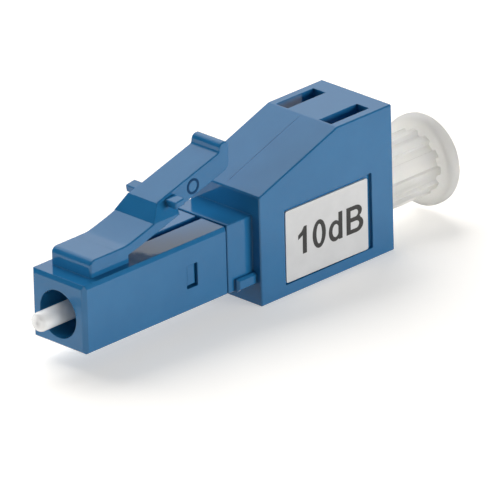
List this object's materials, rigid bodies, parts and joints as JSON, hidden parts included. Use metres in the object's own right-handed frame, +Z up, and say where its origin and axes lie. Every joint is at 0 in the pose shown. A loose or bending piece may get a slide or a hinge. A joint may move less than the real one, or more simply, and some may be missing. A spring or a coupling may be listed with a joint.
{
  "type": "fixed fibre attenuator",
  "caption": "Plug-and-jack fibre attenuator: latched square plug with a ceramic ferrule in front, wedge-topped jack housing behind, closed by a ribbed dust cap.",
  "frame": {"origin": "on the fibre's line, at the plug nose's front face", "axes": "+X along the fibre from the plug's front face towards the jack, +Z up to the latch side, -Y out of the label side"},
  "size_m": [0.0345, 0.006, 0.011],
  "materials": {
    "blue_plastic": "satin",
    "white_ceramic": "polished",
    "doped_glass": "polished",
    "dark_plastic": "matte",
    "spring_steel": "satin",
    "white_plastic": "satin",
    "label_paper": "matte"
  },
  "bodies": {
    "housing": {"plug_shell": "blue_plastic", "rear_housing": "blue_plastic", "split_sleeve": "white_ceramic", "sleeve_holder": "blue_plastic", "value_label": "label_paper", "ferrule_spring": "spring_steel"},
    "latch": {"latch": "blue_plastic"},
    "ferrule": {"ferrule": "white_ceramic", "attenuating_fibre": "doped_glass", "ferrule_flange": "dark_plastic"},
    "cap": {"dust_cap": "white_plastic"}
  },
  "joints": [
    {"name": "latch_press", "type": "hinge", "parent": "housing", "child": "latch", "pos_m": [0.00453, 0, 0.00333], "axis": [0, 1, 0], "range_deg": [0, 12], "stiffness_Nm_per_rad": 0.1},
    {"name": "ferrule_float", "type": "slide", "parent": "housing", "child": "ferrule", "axis": [1, 0, 0], "range_m": [0, 0.0006], "stiffness_N_per_m": 2000, "springref_m": -0.0025, "deforming": ["ferrule_spring"]},
    {"name": "cap_pull", "type": "slide", "parent": "housing", "child": "cap", "axis": [1, 0, 0], "range_m": [0, 0.014]}
  ]
}
